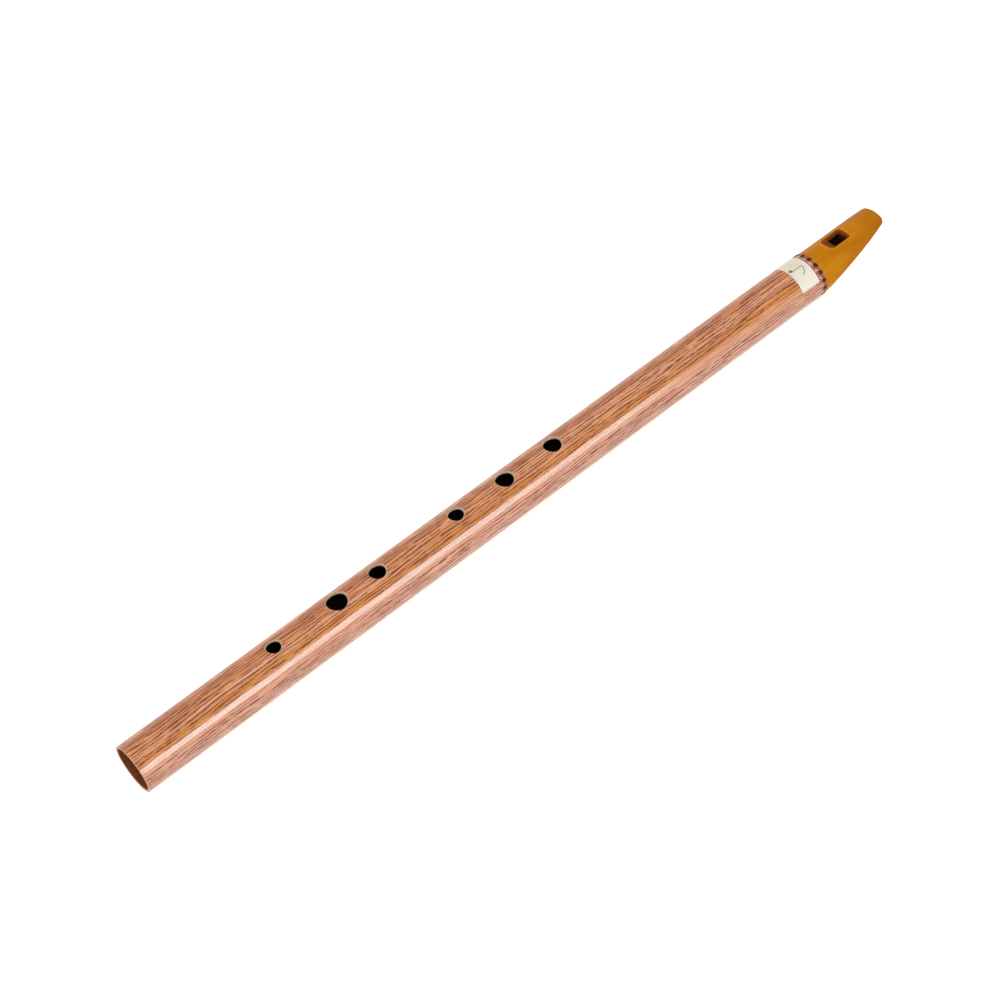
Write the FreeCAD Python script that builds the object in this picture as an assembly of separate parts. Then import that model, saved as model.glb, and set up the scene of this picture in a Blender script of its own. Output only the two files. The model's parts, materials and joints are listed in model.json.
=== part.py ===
import FreeCAD, Part
import math
import os

# Low whistle in F, in millimetres.
# The tube's axis is the X axis: the bell end is at x = 0 and the mouthpiece points along +X.
# The finger holes face +Z. A player looking down the tube has +Y on the right-hand side.

V = FreeCAD.Vector
X_AXIS = V(1, 0, 0)

# Driving dimensions: tube
TUBE_LENGTH = 432.0
WRAP_RADIUS = 12.5
WRAP_THICKNESS = 0.15
WRAP_SEAM = 0.3
WRAP_SEAM_ANGLE = 30.0
BORE_RADIUS = 11.25
SOCKET_RADIUS = 11.55
SOCKET_DEPTH = 26.0

# Finger holes from the bell end up: distance from the bell end, diameter inside the chamfer
FINGER_HOLES = [
    (82.4, 7.3),
    (119.3, 10.4),
    (143.6, 8.5),
    (191.9, 7.8),
    (222.6, 9.3),
    (253.4, 9.2),
]
HOLE_CHAMFER = 0.3
FILM_CLEARANCE = 0.4
FILM_SHIFT = (0.25, 0.15)

# Driving dimensions: paper label
LABEL_START = 415.5
LABEL_WIDTH = 11.9
LABEL_THICKNESS = 0.1
LABEL_ARC = 200.0
LABEL_EDGE_ANGLE = -64.5

# Driving dimensions: mouthpiece head
HEAD_RADIUS = 12.06
HEAD_END = 480.4
BEAK_START = 430.6
BEAK_TIP_HEIGHT = 7.45
BEAK_ROUND_RADIUS = 15.0
TIP_CORNER_RADIUS = 4.0
TIP_CORNER_SIDES = {1: 9.8, -1: 8.4}
TIP_ROUNDING = 0.5
HEAD_WALL = 2.2
SHOULDER_GAP = 0.05
TENON_RADIUS = 11.5
TENON_LENGTH = 24.0
CHAMBER_RADIUS = 8.8
CHAMBER_ROOF = 7.2

# Driving dimensions: window, labium and windway
WINDOW_START = 443.3
WINDOW_END = 458.5
WINDOW_WIDTH = 9.1
WINDOW_CORNER_RADIUS = 4.0
WINDOW_TURN = 4.0
LABIUM_EDGE = 451.4
WINDWAY_FLOOR = 6.5
WINDWAY_HEIGHT = 1.2
WINDWAY_SLOPE = 6.0
BLOCK_LENGTH = 14.0

# Driving dimensions: seal rings in the tenon's grooves, at distances from the tube's end
RING_SETBACKS = {"seal_ring_inner": 20.4, "seal_ring_outer": 13.6}
GROOVE_WIDTH = 2.2
GROOVE_RADIUS = 10.2
RING_WIDTH = 2.0
RING_GAP = 0.04
RING_CORNER = 0.5

TUBE_RADIUS = WRAP_RADIUS - WRAP_THICKNESS
BEAK_SLOPE = math.atan2(BEAK_TIP_HEIGHT + HEAD_RADIUS, HEAD_END - BEAK_START)
REACH = 40.0


def rod(radius, start, end):
    """Solid cylinder on the X axis."""
    return Part.makeCylinder(radius, end - start, V(start, 0, 0), X_AXIS)


def sleeve(outer, inner, start, end):
    """Hollow cylinder on the X axis."""
    return rod(outer, start, end).cut(rod(inner, start - 1, end + 1))


def side_prism(points, half_width):
    """Solid with a polygon in the XZ plane, centred on y = 0."""
    corners = [V(x, -half_width, z) for x, z in points]
    face = Part.Face(Part.makePolygon(corners + corners[:1]))
    return face.extrude(V(0, 2 * half_width, 0))


def turned_to_window(shape):
    """The window and the windway sit a few degrees off the finger holes, towards +Y."""
    turned = shape.copy()
    turned.rotate(V(0, 0, 0), X_AXIS, -WINDOW_TURN)
    return turned


def finger_hole_drills(clearance=0.0, shift=(0.0, 0.0)):
    drills = []
    for place, diameter in FINGER_HOLES:
        centre = V(place + shift[0], shift[1], 0)
        drills.append(Part.makeCylinder(diameter / 2 + clearance, REACH, centre))
    return drills


def outer_hole_edges(tube):
    """The edges where the finger holes leave the tube's outer surface."""
    found = []
    for edge in tube.Edges:
        box = edge.BoundBox
        on_top = box.ZMin > 0 and box.ZMax > TUBE_RADIUS - 0.1
        crosses_the_top = box.YLength > HOLE_CHAMFER
        if on_top and crosses_the_top:
            found.append(edge)
    return found


def body_tube():
    tube = sleeve(TUBE_RADIUS, BORE_RADIUS, 0, TUBE_LENGTH)
    tube = tube.cut(rod(SOCKET_RADIUS, TUBE_LENGTH - SOCKET_DEPTH, TUBE_LENGTH + 1))
    tube = tube.cut(finger_hole_drills())
    return tube.makeChamfer(HOLE_CHAMFER, outer_hole_edges(tube))


def wood_grain_wrap():
    """Printed film round the tube, with its butt seam low on the far side of the back.

    Its holes are wider than the tube's and a little off towards the head and +Y.
    """
    wrap = sleeve(WRAP_RADIUS, TUBE_RADIUS, 0, TUBE_LENGTH)
    seam = Part.makeBox(TUBE_LENGTH + 2, WRAP_SEAM, REACH, V(-1, -WRAP_SEAM / 2, -REACH))
    seam.rotate(V(0, 0, 0), X_AXIS, WRAP_SEAM_ANGLE)
    return wrap.cut(finger_hole_drills(FILM_CLEARANCE, FILM_SHIFT) + [seam])


def key_label():
    """Paper strip over the wrap: its near edge is on the -Y side and it runs over the top."""
    profile = [
        V(LABEL_START, 0, WRAP_RADIUS),
        V(LABEL_START + LABEL_WIDTH, 0, WRAP_RADIUS),
        V(LABEL_START + LABEL_WIDTH, 0, WRAP_RADIUS + LABEL_THICKNESS),
        V(LABEL_START, 0, WRAP_RADIUS + LABEL_THICKNESS),
    ]
    face = Part.Face(Part.makePolygon(profile + profile[:1]))
    face.rotate(V(0, 0, 0), X_AXIS, -LABEL_EDGE_ANGLE)
    return face.revolve(V(0, 0, 0), X_AXIS, -LABEL_ARC)


def beak_round(inset):
    """Tilted cylinder whose lowest line is the beak's underside, set in by a wall."""
    along = V(math.cos(BEAK_SLOPE), 0, math.sin(BEAK_SLOPE))
    upward = V(-math.sin(BEAK_SLOPE), 0, math.cos(BEAK_SLOPE))
    foot = V(BEAK_START, 0, -HEAD_RADIUS) + upward * BEAK_ROUND_RADIUS
    start = foot - along * REACH
    return Part.makeCylinder(BEAK_ROUND_RADIUS - inset, 4 * REACH, start, along)


def tip_corner(side):
    """What rounding one corner of the beak's tip takes away, seen from above.

    The corner on the -Y side is worn down further than the other.
    """
    across = side * (TIP_CORNER_SIDES[side] - TIP_CORNER_RADIUS)
    centre = V(HEAD_END - TIP_CORNER_RADIUS, across, -REACH)
    width = REACH * side
    corners = [V(0, 0, 0), V(REACH, 0, 0), V(REACH, width, 0), V(0, width, 0), V(0, 0, 0)]
    square = Part.Face(Part.makePolygon([centre + corner for corner in corners]))
    block = square.extrude(V(0, 0, 2 * REACH))
    return block.cut(Part.makeCylinder(TIP_CORNER_RADIUS, 2 * REACH, centre))


def head_outside():
    """Cylinder with a rounded end, cut to the beak's shape, and its tenon."""
    shoulder = TUBE_LENGTH + SHOULDER_GAP
    head = rod(HEAD_RADIUS, shoulder, HEAD_END)
    end_rim = [edge for edge in head.Edges if edge.BoundBox.XMin > HEAD_END - 0.1]
    head = head.makeFillet(TIP_ROUNDING, end_rim).common(beak_round(0))
    head = head.cut([tip_corner(side) for side in TIP_CORNER_SIDES])
    tenon = rod(TENON_RADIUS, TUBE_LENGTH - TENON_LENGTH, shoulder)
    return head.fuse(tenon)


def chamber():
    """Air space from the tenon's mouth to the window, with a flat roof under the labium."""
    start = TUBE_LENGTH - TENON_LENGTH - 1
    entry = rod(CHAMBER_RADIUS, start, TUBE_LENGTH + 2)
    inner = rod(CHAMBER_RADIUS, TUBE_LENGTH, WINDOW_END).common(beak_round(HEAD_WALL))
    roof_line = [
        (start, -REACH),
        (WINDOW_END + 1, -REACH),
        (WINDOW_END + 1, CHAMBER_ROOF),
        (LABIUM_EDGE - 8, CHAMBER_ROOF),
        (LABIUM_EDGE - 14, CHAMBER_RADIUS + 1),
        (start, CHAMBER_RADIUS + 1),
    ]
    return entry.fuse(inner).common(turned_to_window(side_prism(roof_line, REACH)))


def window_pocket():
    """Opening in the head: ramp down to the labium edge, then a straight drop to the block."""
    ramp_slope = (HEAD_RADIUS - CHAMBER_ROOF) / (LABIUM_EDGE - WINDOW_START)
    above = 4.0
    outline = [
        (WINDOW_START - above / ramp_slope, HEAD_RADIUS + above),
        (LABIUM_EDGE, CHAMBER_ROOF),
        (LABIUM_EDGE, CHAMBER_ROOF - 1.5),
        (WINDOW_END, CHAMBER_ROOF - 1.5),
        (WINDOW_END, HEAD_RADIUS + above),
    ]
    pocket = side_prism(outline, WINDOW_WIDTH / 2)
    carved = Part.makeBox(REACH, WINDOW_WIDTH, REACH, V(WINDOW_START, -WINDOW_WIDTH / 2, 0))
    upright = [edge for edge in carved.Edges if edge.BoundBox.ZLength > 1]
    bell_side = [edge for edge in upright if edge.BoundBox.XMax < WINDOW_START + 1]
    carved = carved.makeFillet(WINDOW_CORNER_RADIUS, bell_side)
    return turned_to_window(pocket.common(carved))


def windway_floor(x):
    return WINDWAY_FLOOR + (x - WINDOW_END) * math.tan(math.radians(WINDWAY_SLOPE))


def windway():
    """Flat slot from the beak's tip to the window."""
    outer = HEAD_END + 1
    outline = [
        (WINDOW_END - 0.5, windway_floor(WINDOW_END - 0.5)),
        (outer, windway_floor(outer)),
        (outer, windway_floor(outer) + WINDWAY_HEIGHT),
        (WINDOW_END - 0.5, windway_floor(WINDOW_END - 0.5) + WINDWAY_HEIGHT),
    ]
    return turned_to_window(side_prism(outline, WINDOW_WIDTH / 2))


def fipple_block():
    """Plug that closes the chamber beyond the window, and is the windway's floor."""
    end = WINDOW_END + BLOCK_LENGTH
    outline = [
        (WINDOW_END, -REACH),
        (end, -REACH),
        (end, windway_floor(end)),
        (WINDOW_END, windway_floor(WINDOW_END)),
    ]
    wedge = turned_to_window(side_prism(outline, WINDOW_WIDTH / 2))
    return wedge.common(beak_round(HEAD_WALL))


def ring_groove(centre):
    return sleeve(REACH, GROOVE_RADIUS, centre - GROOVE_WIDTH / 2, centre + GROOVE_WIDTH / 2)


def head_shell():
    shell = head_outside()
    shell = shell.cut([chamber(), window_pocket(), windway(), fipple_block()])
    return shell.cut([ring_groove(TUBE_LENGTH - setback) for setback in RING_SETBACKS.values()])


def seal_ring(centre):
    """Rubber ring, squeezed to a rounded square section between groove and socket."""
    outer = SOCKET_RADIUS - RING_GAP
    inner = GROOVE_RADIUS + RING_GAP
    ring = sleeve(outer, inner, centre - RING_WIDTH / 2, centre + RING_WIDTH / 2)
    rims = [edge for edge in ring.Edges if edge.isClosed()]
    return ring.makeFillet(RING_CORNER, rims)


def parts():
    solids = {
        "body_tube": body_tube(),
        "wood_grain_wrap": wood_grain_wrap(),
        "key_label": key_label(),
        "head_shell": head_shell(),
        "fipple_block": fipple_block(),
    }
    for name, setback in RING_SETBACKS.items():
        solids[name] = seal_ring(TUBE_LENGTH - setback)
    return solids


os.makedirs("parts", exist_ok=True)
for name, shape in parts().items():
    shape.exportStep("parts/" + name + ".step")
    box = shape.optimalBoundingBox()
    print(name, shape.isValid(), len(shape.Solids), "solid", round(shape.Volume, 1), "mm3")
    print("  x %.2f to %.2f" % (box.XMin, box.XMax))
    print("  y %.2f to %.2f" % (box.YMin, box.YMax))
    print("  z %.2f to %.2f" % (box.ZMin, box.ZMax))
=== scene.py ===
import bmesh
import bpy
import json
import math
from mathutils import Matrix, Vector


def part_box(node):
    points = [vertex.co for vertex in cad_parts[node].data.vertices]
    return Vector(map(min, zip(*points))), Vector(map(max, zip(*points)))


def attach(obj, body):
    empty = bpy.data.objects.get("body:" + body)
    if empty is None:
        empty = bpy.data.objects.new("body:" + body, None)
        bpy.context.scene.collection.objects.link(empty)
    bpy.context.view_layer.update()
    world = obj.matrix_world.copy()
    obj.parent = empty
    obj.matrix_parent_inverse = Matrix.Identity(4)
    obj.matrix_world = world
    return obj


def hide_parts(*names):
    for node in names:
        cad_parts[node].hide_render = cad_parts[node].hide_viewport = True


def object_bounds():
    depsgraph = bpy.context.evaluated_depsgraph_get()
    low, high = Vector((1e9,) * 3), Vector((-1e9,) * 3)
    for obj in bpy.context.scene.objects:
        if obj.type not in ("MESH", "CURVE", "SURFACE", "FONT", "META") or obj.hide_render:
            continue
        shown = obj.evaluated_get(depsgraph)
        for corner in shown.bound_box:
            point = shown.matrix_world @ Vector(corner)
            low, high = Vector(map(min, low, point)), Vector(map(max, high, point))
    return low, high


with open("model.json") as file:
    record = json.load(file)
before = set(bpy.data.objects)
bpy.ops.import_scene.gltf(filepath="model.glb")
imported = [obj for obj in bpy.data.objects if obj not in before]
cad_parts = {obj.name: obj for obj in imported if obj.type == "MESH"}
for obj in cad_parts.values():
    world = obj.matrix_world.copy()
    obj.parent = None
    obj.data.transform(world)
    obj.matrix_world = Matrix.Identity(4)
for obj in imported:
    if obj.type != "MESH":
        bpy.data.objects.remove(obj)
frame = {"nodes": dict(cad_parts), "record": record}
cad_low, cad_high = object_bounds()

# Low whistle, in metres. The tube lies along X with its bell end at x = 0 and its finger holes
# on +Z. Angles round the tube are measured from +Z towards +Y.
MM = 0.001

# Tube and printed film. HOLE_TO_OPENING is a hole's width over that of its opening in the record;
# ROUNDING_STEPS are the degrees at which a rounded edge has its rows.
SEAM_ANGLE = math.radians(150)
SEAM_GAP = 0.3 * MM
SOCKET_DEPTH = 26.0 * MM
SEAL_RING_CLEARANCE = 0.04 * MM
COLUMNS = 96
FINE_SPLIT = 3
ROW_STEP = 9.0 * MM
PATCH_COLUMNS = 10
PATCH_ROWS = 16
PATCH_MARGIN = 2.5 * MM
PATCH_RINGS = (0.1, 0.3, 0.6)
ROW_TOLERANCE = 1e-7
HOLE_TO_OPENING = 1 / 0.68
ROUNDING_STEPS = (30, 60, 90)
FILM_EDGE = 0.08 * MM
FILM_CLEARANCE = 0.4 * MM
FILM_SHIFT = (0.25 * MM, 0.15 * MM)
CORE_EDGE = 0.25 * MM
HOLE_CHAMFER = 0.3 * MM
STREAK_ANGLE = math.radians(-40)
SHADE_ANGLE = math.radians(12)
# Middle of the painted light on the tube's lower side
LIT_SIDE_ANGLE = math.radians(-85)
STRIPE_ANGLE = math.radians(-56)

# Ring of dots printed and pressed into the film's end. A setback is a distance from the tube's end.
DOT_COUNT = 17
DOT_PHASE = math.radians(-5.4)
DOT_SETBACK = 1.45 * MM
DOT_RADIUS = 1.45 * MM
DOT_DEPTH = 0.09 * MM
SMALL_DOT_RADIUS = 0.5 * MM
PALE_DOT_SETBACK = 3.2 * MM
PALE_DOT_RADIUS = 0.55 * MM
BAND_SETBACK = 4.2 * MM
FINE_SETBACK = 5.0 * MM
FINE_STEP = 0.27 * MM

# Head
BEAK_START = 430.6 * MM
BEAK_TIP_HEIGHT = 7.45 * MM
BEAK_ROUND_RADIUS = 15.0 * MM
TIP_LENGTH = 4.3 * MM
TIP_ROUNDING = 0.5 * MM
WINDOW_START = 443.3 * MM
WINDOW_END = 458.5 * MM
WINDOW_WIDTH = 9.1 * MM
WINDOW_CORNER = 4.0 * MM
WINDOW_FAR_CORNER = 0.4 * MM
WINDOW_TURN = math.radians(4)
WINDOW_LIP = 0.55 * MM
WINDWAY_REACH = 5.25 * MM
WINDWAY_TOP = 10.2 * MM
CHAMBER_RADIUS = 9.0 * MM
CHAMBER_ROOF = 7.0 * MM
HEAD_VOXEL = 0.26 * MM
HEAD_SMOOTHING = 0.5
HEAD_SMOOTH_PASSES = 4
HEAD_KEPT_FACES = 0.42
SKIN_SNAP = 0.05 * MM
CUT_DEPTH = 0.5 * MM
EDGE_DEPTH = 0.06 * MM
TIP_FACE_DEPTH = 0.15 * MM
SKIN, CARVED_EDGE_HIGHLIGHT, CARVED, SHADED_CHAMBER = range(4)

# Label, and the quaver drawn on it
LABEL_ARC = math.radians(200)
LABEL_START_ANGLE = math.radians(-64.5)
LABEL_ROWS = 100
LABEL_COLUMNS = 12
LABEL_MARGIN = 0.1 * MM
LABEL_CORNER = math.radians(40)
MARK_HEIGHT = 0.02 * MM
MARK_SETBACK = 1.9 * MM
MARK_ANGLE = math.radians(-6.5)
STEM_LENGTH = 7.2 * MM
STEM_STEPS = 12
FLAG_LENGTH = 4.6 * MM
FLAG_DROP = 0.5
FLAG_BEND = math.pi * 18 / 28
FLAG_STEPS = 18
FLAG_STRETCH = 1.25
NOTE_SIZE = (1.1 * MM, 0.85 * MM)
NOTE_SIDES = 24
NOTE_CORE = 0.02
PEN_WIDTH = 0.42 * MM
WELD_DISTANCE = 0.001 * MM

# Camera; its lens and sensor are in millimetres as a camera counts them
CAMERA_PLACE = Vector((-164.13, -578.25, 775.78)) * MM
CAMERA_TARGET = Vector((218.375, 0.45, 0.0)) * MM
CAMERA_ROLL = math.radians(-9.93)
CAMERA_LENS = 77.61
CAMERA_SENSOR = 36.0
CAMERA_FAR = 50.0

# Light and floor
FLOOR_GLOW = 0.56
FLOOR_REACH = 6.0
FLOOR_CELLS = 4
WORLD_STRENGTH = 1.04
SOFTBOX_X = 0.36
SOFTBOX_ANGLE = math.radians(-68.5)
SOFTBOX_DISTANCE = 1.0
SOFTBOX_LENGTH = 0.92
SOFTBOX_HALF_ANGLE = math.radians(12)
SOFTBOX_RADIANCE = 14.0
SOFTBOX_COLOUR = (0.70, 0.87, 1.0)


def srgb(red, green, blue):
    """A screen colour from 0 to 255, as the linear colour a shader takes."""
    def linear(value):
        value /= 255
        return value / 12.92 if value <= 0.04045 else ((value + 0.055) / 1.055) ** 2.4
    return linear(red), linear(green), linear(blue), 1.0


# Colours of the printed film
OAK, PALE_OAK = srgb(218, 145, 92), srgb(228, 160, 106)
# Rose tone of the print, also used as painted light on the lower side
ROSE_OAK_AND_LIT_SIDE = srgb(238, 184, 163)
SHADED_OAK = srgb(168, 96, 58)
GOLDEN_OAK = srgb(218, 136, 42)
LIGHT_OAK = srgb(230, 166, 112)
OAK_FIBRE = srgb(178, 100, 56)
FINE_LINE = srgb(158, 78, 36)
LONG_LINE = srgb(112, 40, 10)

# Colours of the dot band
BAND, PALE_BAND = srgb(150, 102, 88), srgb(204, 164, 138)
BAND_STREAK = srgb(132, 66, 44)
BAND_AMBER = srgb(176, 106, 24)
DOT = srgb(100, 24, 12)
SMALL_DOT = srgb(110, 44, 26)
PALE_DOT = srgb(232, 206, 130)

# Colours of the tube: base and flecks, and painted shade for the bore far in from the bell
CUT_EDGE = srgb(196, 174, 148), srgb(170, 142, 112)
CORE_OUTSIDE = srgb(186, 168, 144), srgb(158, 134, 108)
CORE_INSIDE = srgb(142, 74, 30), srgb(92, 44, 20)
CORE_PAINTED_SHADE = srgb(56, 42, 36)

# Colours of the head; carved wood is given as light and dark wood tones and a painted shade for its
# deep parts
AMBER, BRIGHT_AMBER = srgb(184, 110, 0), srgb(200, 131, 0)
AMBER_FIBRE = srgb(164, 92, 0)
REDDISH_AMBER = srgb(186, 100, 22)
BEAK_AMBER = srgb(166, 92, 0)
# Painted highlight along the window's rim
PAINTED_LIP_HIGHLIGHT = srgb(232, 166, 50)
# Carved wood at the rims of the cuts, made brighter as a painted highlight; its third colour is
# painted shade
EDGE_WOOD_AND_HIGHLIGHT = srgb(206, 128, 24), srgb(176, 100, 14), srgb(150, 80, 18)
CARVED_WOOD = srgb(186, 98, 20), srgb(150, 74, 12), srgb(84, 38, 8)
# Painted shade: the air chamber's wood is painted dark
CHAMBER_SHADE = srgb(70, 36, 20), srgb(50, 26, 14), srgb(44, 22, 20)
BLOCK_WOOD = srgb(84, 44, 16), srgb(56, 28, 10)

# Colours of the label, the rings and the floor
PAPER, DULL_PAPER = srgb(237, 232, 216), srgb(224, 217, 196)
WARM_PAPER = srgb(210, 202, 174)
# Painted highlight on the label's edge by the head
PAPER_HIGHLIGHT = srgb(236, 224, 234)
INK, PALE_INK = srgb(92, 90, 94), srgb(126, 122, 122)
RUBBER, PALE_RUBBER = srgb(38, 37, 38), srgb(58, 56, 56)
FLOOR_WHITE = srgb(252, 252, 252)
WHITE = (1, 1, 1, 1)

# Where colours change in the materials, in millimetres.
# Along x:
BORE_DARKENS = (30.0, 70.0)
PAPER_HIGHLIGHT_SPAN = (426.3, 427.1)
RAMP_BEGINS = (440.0, 441.0)
RAMP_ENDS = (452.0, 454.0)
BEAK_DARKENS = (455.0, 474.0)
# Along y:
PAPER_WARMS = (-7.0, 2.0)
LIP_HIGHLIGHT_FADES = (2.5, 4.5)
RAMP_SIDE = (4.4, 4.8)
# Along z, in from the head's skin, and along x from the tube's end:
LIP_HIGHLIGHT_RISES = (8.0, 9.0)
RECESS_SHADE_DEPTHS = (1.6, 5.4)
BAND_TURNS_AMBER = (-1.7, -1.3)


# ---------------------------------------------------------------- materials


class Surface:
    """A material's node tree, built with short calls. Sockets are passed about as values."""

    def __init__(self, name, roughness, specular=0.5, coat=0.0, coat_roughness=0.1):
        self.material = bpy.data.materials.new(name)
        self.material.use_nodes = True
        self.nodes = self.material.node_tree.nodes
        self.links = self.material.node_tree.links
        self.shader = self.nodes["Principled BSDF"]
        self.shader.inputs["Roughness"].default_value = roughness
        self.shader.inputs["Specular IOR Level"].default_value = specular
        self.shader.inputs["Coat Weight"].default_value = coat
        self.shader.inputs["Coat Roughness"].default_value = coat_roughness

    def put(self, socket, value):
        if isinstance(value, bpy.types.NodeSocket):
            self.links.new(value, socket)
        else:
            socket.default_value = value

    def node(self, kind, inputs=None, **settings):
        made = self.nodes.new(kind)
        for name, value in settings.items():
            setattr(made, name, value)
        for name, value in (inputs or {}).items():
            self.put(made.inputs[name], value)
        return made

    def math(self, operation, *values):
        made = self.node("ShaderNodeMath", operation=operation)
        for place, value in enumerate(values):
            self.put(made.inputs[place], value)
        return made.outputs[0]

    def point(self):
        """x, y, z in millimetres."""
        place = self.node("ShaderNodeTexCoord").outputs["Object"]
        split = self.node("ShaderNodeSeparateXYZ", {"Vector": place})
        return [self.math("DIVIDE", split.outputs[axis], MM) for axis in range(3)]

    def angle(self, y, z):
        return self.math("ARCTAN2", y, z)

    def vector(self, x, y, z=0.0):
        return self.node("ShaderNodeCombineXYZ", {"X": x, "Y": y, "Z": z}).outputs[0]

    def scaled(self, x, y, z, along_scale, side_scale):
        """Texture coordinates for solid wood or speckles, with its own scale along x."""
        return self.vector(
            self.math("MULTIPLY", x, along_scale),
            self.math("MULTIPLY", y, side_scale),
            self.math("MULTIPLY", z, side_scale),
        )

    def stretched(self, along, across, along_scale, across_scale, shift=0.0):
        """Texture coordinates for grain: few features per millimetre along, many across."""
        return self.vector(
            self.math("MULTIPLY", along, along_scale),
            self.math("MULTIPLY_ADD", across, across_scale, shift),
        )

    def noise(self, vector, detail=2.0, roughness=0.5, distortion=0.0):
        inputs = {
            "Vector": vector,
            "Scale": 1.0,
            "Detail": detail,
            "Roughness": roughness,
            "Distortion": distortion,
        }
        return self.node("ShaderNodeTexNoise", inputs, noise_dimensions="3D").outputs[0]

    def ramp(self, value, start, end, low=0.0, high=1.0):
        """Smooth change from low to high as value goes from start to end."""
        inputs = {"Value": value, "From Min": start, "From Max": end, "To Min": low, "To Max": high}
        return self.node("ShaderNodeMapRange", inputs, interpolation_type="SMOOTHSTEP").outputs[0]

    def mix(self, share, first, second):
        """The first colour going over to the second as share goes from 0 to 1."""
        made = self.node("ShaderNodeMix", data_type="RGBA")
        for place, value in ((0, share), (6, first), (7, second)):
            self.put(made.inputs[place], value)
        return made.outputs[2]

    def bump(self, height, strength, distance):
        inputs = {"Height": height, "Strength": strength, "Distance": distance}
        self.put(self.shader.inputs["Normal"], self.node("ShaderNodeBump", inputs).outputs[0])

    def finish(self, colour, roughness=None):
        self.put(self.shader.inputs["Base Color"], colour)
        if roughness is not None:
            self.put(self.shader.inputs["Roughness"], roughness)
        return self.material


def ring_of_dots(surface, along, turn, radius, dot_radius, half_step=False):
    """How much a point is inside one of the dots of a ring.

    Along is the distance from the ring in millimetres, and turn the angle round the tube. With
    half_step the dots lie between those of the main ring.
    """
    spacing = 2 * math.pi / DOT_COUNT
    phase = DOT_PHASE if half_step else DOT_PHASE - spacing / 2
    off = surface.math("WRAP", surface.math("SUBTRACT", turn, phase), spacing, 0.0)
    off = surface.math("MULTIPLY", surface.math("SUBTRACT", off, spacing / 2), radius / MM)
    away = surface.math("SQRT", surface.math(
        "ADD", surface.math("MULTIPLY", off, off), surface.math("MULTIPLY", along, along)
    ))
    size = dot_radius / MM
    return surface.ramp(away, size * 0.8, size * 1.05, 1.0, 0.0)


def grain_lines(surface, x, across, spacing, width, shift):
    """Thin wavy lines along the tube, thinning out into gaps: 1 on a line, 0 beside it.

    Spacing is in millimetres, and width is half a line's share of it at the most.
    """
    wander = surface.noise(surface.stretched(x, across, 0.035, 0.3, shift), 3.0, 0.55)
    place = surface.math("MULTIPLY_ADD", wander, 1.8, surface.math("DIVIDE", across, spacing))
    off = surface.math("ABSOLUTE", surface.math("SUBTRACT", surface.math("FRACT", place), 0.5))
    gaps = surface.noise(surface.stretched(x, across, 0.062, 0.95, shift + 11), 2.5, 0.6)
    half = surface.ramp(gaps, 0.34, 0.54, -0.07, width)
    softness = 0.03
    start = surface.math("SUBTRACT", half, softness)
    end = surface.math("ADD", half, softness)
    return surface.ramp(off, start, end, 1.0, 0.0)


def near_angle(surface, angle, middle, inside, outside):
    """1 within inside degrees of one angle round the tube, and 0 beyond outside degrees."""
    away = surface.math("ABSOLUTE", surface.math("SUBTRACT", angle, middle))
    return surface.ramp(away, math.radians(inside), math.radians(outside), 1.0, 0.0)


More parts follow.
